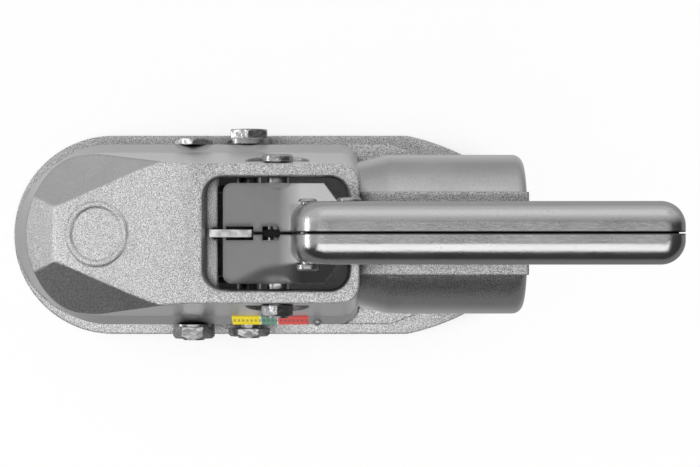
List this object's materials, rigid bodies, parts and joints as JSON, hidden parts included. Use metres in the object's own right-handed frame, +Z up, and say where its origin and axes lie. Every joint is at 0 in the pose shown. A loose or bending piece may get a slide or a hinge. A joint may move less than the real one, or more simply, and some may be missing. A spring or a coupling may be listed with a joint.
{
  "type": "trailer ball coupler",
  "caption": "Cast trailer coupler with a ball socket, a sliding jaw, a lift handle with a catch and a clamp tube for a round drawtube.",
  "frame": {"origin": "centre of the tow ball that the socket seats", "axes": "+X runs back along the drawtube, +Z up, -Z is the way the ball leaves the socket"},
  "size_m": [0.3076, 0.0996, 0.1118],
  "materials": {
    "zinc_casting": "galvanised sand casting, rough on top and smoother on the drafted sides",
    "jaw_iron": "phosphated and oiled, smooth on the ball face",
    "plated_steel": "bright zinc plating",
    "handle_zinc": "glossy zinc plating on pressed sheet",
    "spring_steel": "dark oiled spring wire",
    "label_film": "printed film in yellow, green and red bands"
  },
  "bodies": {
    "housing": {"housing": "zinc_casting", "jaw_guide_bolt": "plated_steel", "jaw_guide_sleeve": "plated_steel", "jaw_guide_washer": "plated_steel", "jaw_guide_nut": "plated_steel", "handle_pivot_bolt": "plated_steel", "handle_pivot_nut": "plated_steel", "spring_seat": "plated_steel", "main_spring": "spring_steel", "wear_label": "label_film"},
    "handle": {"handle_left": "handle_zinc", "handle_right": "handle_zinc", "handle_bush": "plated_steel", "handle_rivets": "plated_steel", "rivet_spacers": "plated_steel", "catch_spring": "spring_steel"},
    "jaw": {"jaw": "jaw_iron", "cross_bolt": "plated_steel", "cross_bolt_bushes": "plated_steel", "cross_bolt_washer": "plated_steel", "cross_bolt_nut": "plated_steel", "spring_rod": "plated_steel"},
    "catch": {"catch": "plated_steel"}
  },
  "joints": [
    {"name": "handle_hinge", "type": "hinge", "parent": "housing", "child": "handle", "pos_m": [0.0809, 0, 0.049], "axis": [0, -1, 0], "range_deg": [0, 38]},
    {"name": "jaw_slide", "type": "slide", "parent": "housing", "child": "jaw", "axis": [1, 0, 0], "range_m": [0, 0.017], "stiffness_N_per_m": 4000, "springref_m": -0.01, "deforming": ["main_spring"]},
    {"name": "catch_slide", "type": "slide", "parent": "handle", "child": "catch", "axis": [1, 0, 0], "range_m": [0, 0.012], "stiffness_N_per_m": 300, "springref_m": -0.004, "deforming": ["catch_spring"]}
  ],
  "couplings": [
    {"joint": "jaw_slide", "follows": "handle_hinge", "m_per_rad": 0.02563},
    {"joint": "catch_slide", "follows": "handle_hinge", "m_per_rad": 0.01809}
  ]
}
